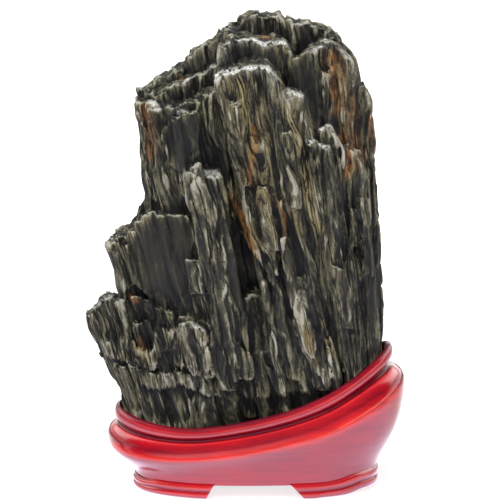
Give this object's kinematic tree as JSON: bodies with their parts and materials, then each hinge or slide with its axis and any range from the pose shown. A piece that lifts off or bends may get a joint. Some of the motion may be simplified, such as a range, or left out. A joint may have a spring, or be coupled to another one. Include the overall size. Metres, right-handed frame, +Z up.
{
  "type": "suiseki",
  "caption": "Upright fibrous dark viewing stone with stepped, splintered ledges, seated in the carved socket of a red lacquered wooden stand on low feet.",
  "frame": {"origin": "on the surface the stand rests on, under the middle of the whole piece", "axes": "+Z up, along the stone's tall side; +X to the right as seen from the front; -Y towards the viewer"},
  "size_m": [0.1992, 0.096, 0.295],
  "materials": {
    "stone": "rough, fibrous, near-black grey-green with olive-tan ridges and rust streaks",
    "lacquered_wood": "glossy clear-coated red lacquer, darker in the grooves"
  },
  "bodies": {
    "root": {"stone": "stone", "stand_body": "lacquered_wood", "foot_front_right": "lacquered_wood", "foot_front_left": "lacquered_wood", "foot_back_right": "lacquered_wood", "foot_back_left": "lacquered_wood"}
  },
  "joints": []
}
